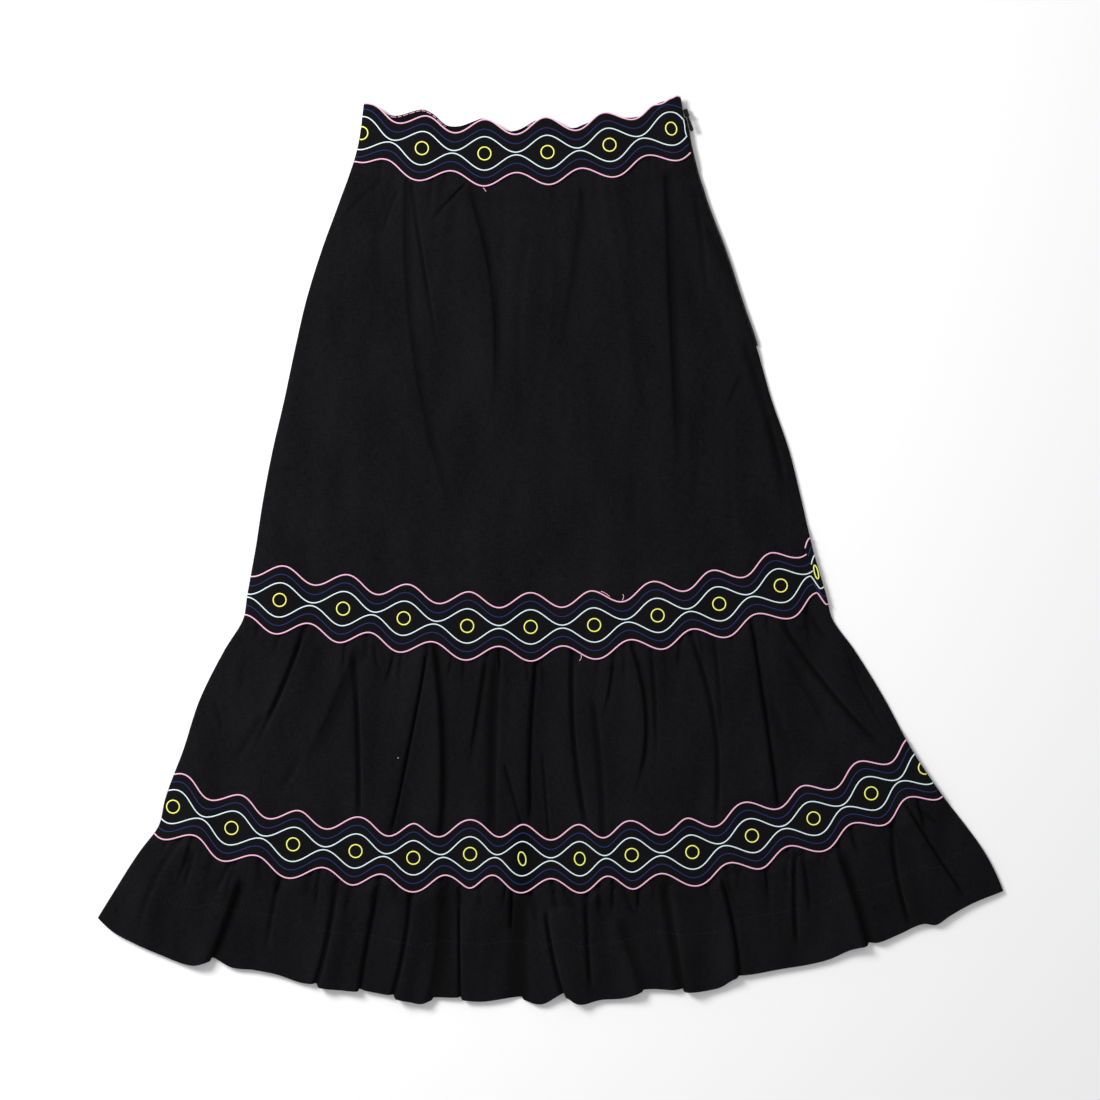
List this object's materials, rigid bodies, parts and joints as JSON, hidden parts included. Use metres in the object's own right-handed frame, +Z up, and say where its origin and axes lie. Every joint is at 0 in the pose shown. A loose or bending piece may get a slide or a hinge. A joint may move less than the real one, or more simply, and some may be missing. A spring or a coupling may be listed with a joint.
{
  "type": "pollera skirt",
  "caption": "Long black tiered pollera skirt laid flat, with scalloped embroidered waistband and bands over gathered tiers, a wavy hem ruffle and a side zip with a hinged pull.",
  "frame": {"origin": "centre of the skirt's box on the surface it lies on", "axes": "+Z up, away from the surface and out of the skirt's front; +Y towards the waist; +X towards the side with the zip"},
  "size_m": [0.9432, 0.945, 0.0136],
  "materials": {
    "black_cotton": "matt black cotton poplin with soft creases",
    "embroidered_band": "black cotton with satin-stitched cords in pink, yellow, pale aqua and navy",
    "zip_tape": "black woven tape with nylon teeth",
    "zip_metal": "black lacquer"
  },
  "bodies": {
    "garment": {"upper_tier_front": "black_cotton", "upper_tier_back": "black_cotton", "middle_tier_front": "black_cotton", "middle_tier_back": "black_cotton", "hem_tier_front": "black_cotton", "hem_tier_back": "black_cotton", "waistband_front": "embroidered_band", "waistband_back": "embroidered_band", "mid_band_front": "embroidered_band", "mid_band_back": "embroidered_band", "low_band_front": "embroidered_band", "low_band_back": "embroidered_band", "zip_tape": "zip_tape", "zip_slider": "zip_metal"},
    "pull": {"zip_pull": "zip_metal"}
  },
  "joints": [
    {"name": "pull_hinge", "type": "hinge", "parent": "garment", "child": "pull", "pos_m": [0.14196, 0.45304, 0.0068], "axis": [-0.9563, -0.2924, 0], "range_deg": [0, 120]}
  ]
}
